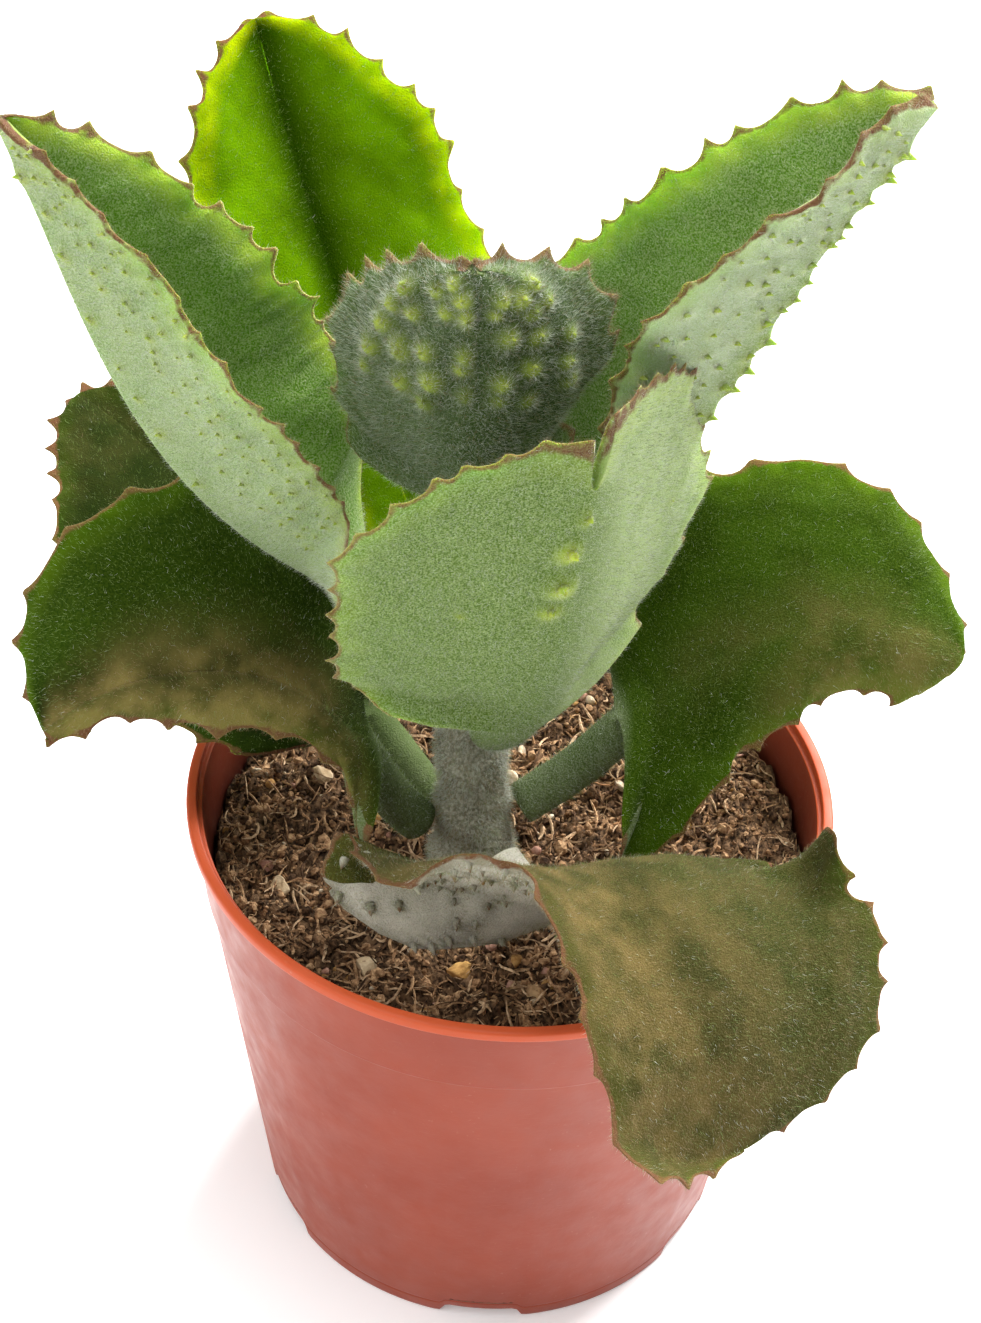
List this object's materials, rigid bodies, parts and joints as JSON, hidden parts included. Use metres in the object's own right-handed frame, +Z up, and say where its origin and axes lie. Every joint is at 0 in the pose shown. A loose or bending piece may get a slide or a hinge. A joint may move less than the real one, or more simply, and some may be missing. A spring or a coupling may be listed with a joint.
{
  "type": "potted kalanchoe",
  "caption": "Potted succulent with thick, felted, toothed leaves in crossed pairs on one upright stem, standing in soil in a round tapered plastic nursery pot.",
  "frame": {"origin": "middle of the pot's foot, on the surface it stands on", "axes": "+Z up along the pot's axis; +Y from the front leaves towards the back leaf; +X to the right"},
  "size_m": [0.1706, 0.1481, 0.2428],
  "materials": {
    "terracotta_plastic": "satin, lightly scuffed",
    "potting_soil": "rough, fibrous",
    "stone_chip": "rough",
    "felted_stem": "felted",
    "felted_leaf": "felted, brown toothed margin",
    "old_leaf": "felted, olive with brown margin",
    "young_leaf": "densely felted, pale"
  },
  "bodies": {
    "root": {"pot": "terracotta_plastic", "soil": "potting_soil", "stone_chip_01": "stone_chip", "stone_chip_02": "stone_chip", "stone_chip_03": "stone_chip", "stone_chip_04": "stone_chip", "stone_chip_05": "stone_chip", "stone_chip_06": "stone_chip", "stone_chip_07": "stone_chip", "stone_chip_08": "stone_chip", "stone_chip_09": "stone_chip", "stone_chip_10": "stone_chip", "stone_chip_11": "stone_chip", "stone_chip_12": "stone_chip", "stem": "felted_stem", "leaf_front_right_drooping": "old_leaf", "leaf_back_left": "old_leaf", "leaf_right": "old_leaf", "leaf_left": "old_leaf", "leaf_front": "felted_leaf", "leaf_back": "felted_leaf", "leaf_upper_left": "felted_leaf", "leaf_upper_right": "felted_leaf", "leaf_young_front": "young_leaf", "leaf_young_back": "young_leaf", "shoot_tip": "young_leaf"}
  },
  "joints": []
}
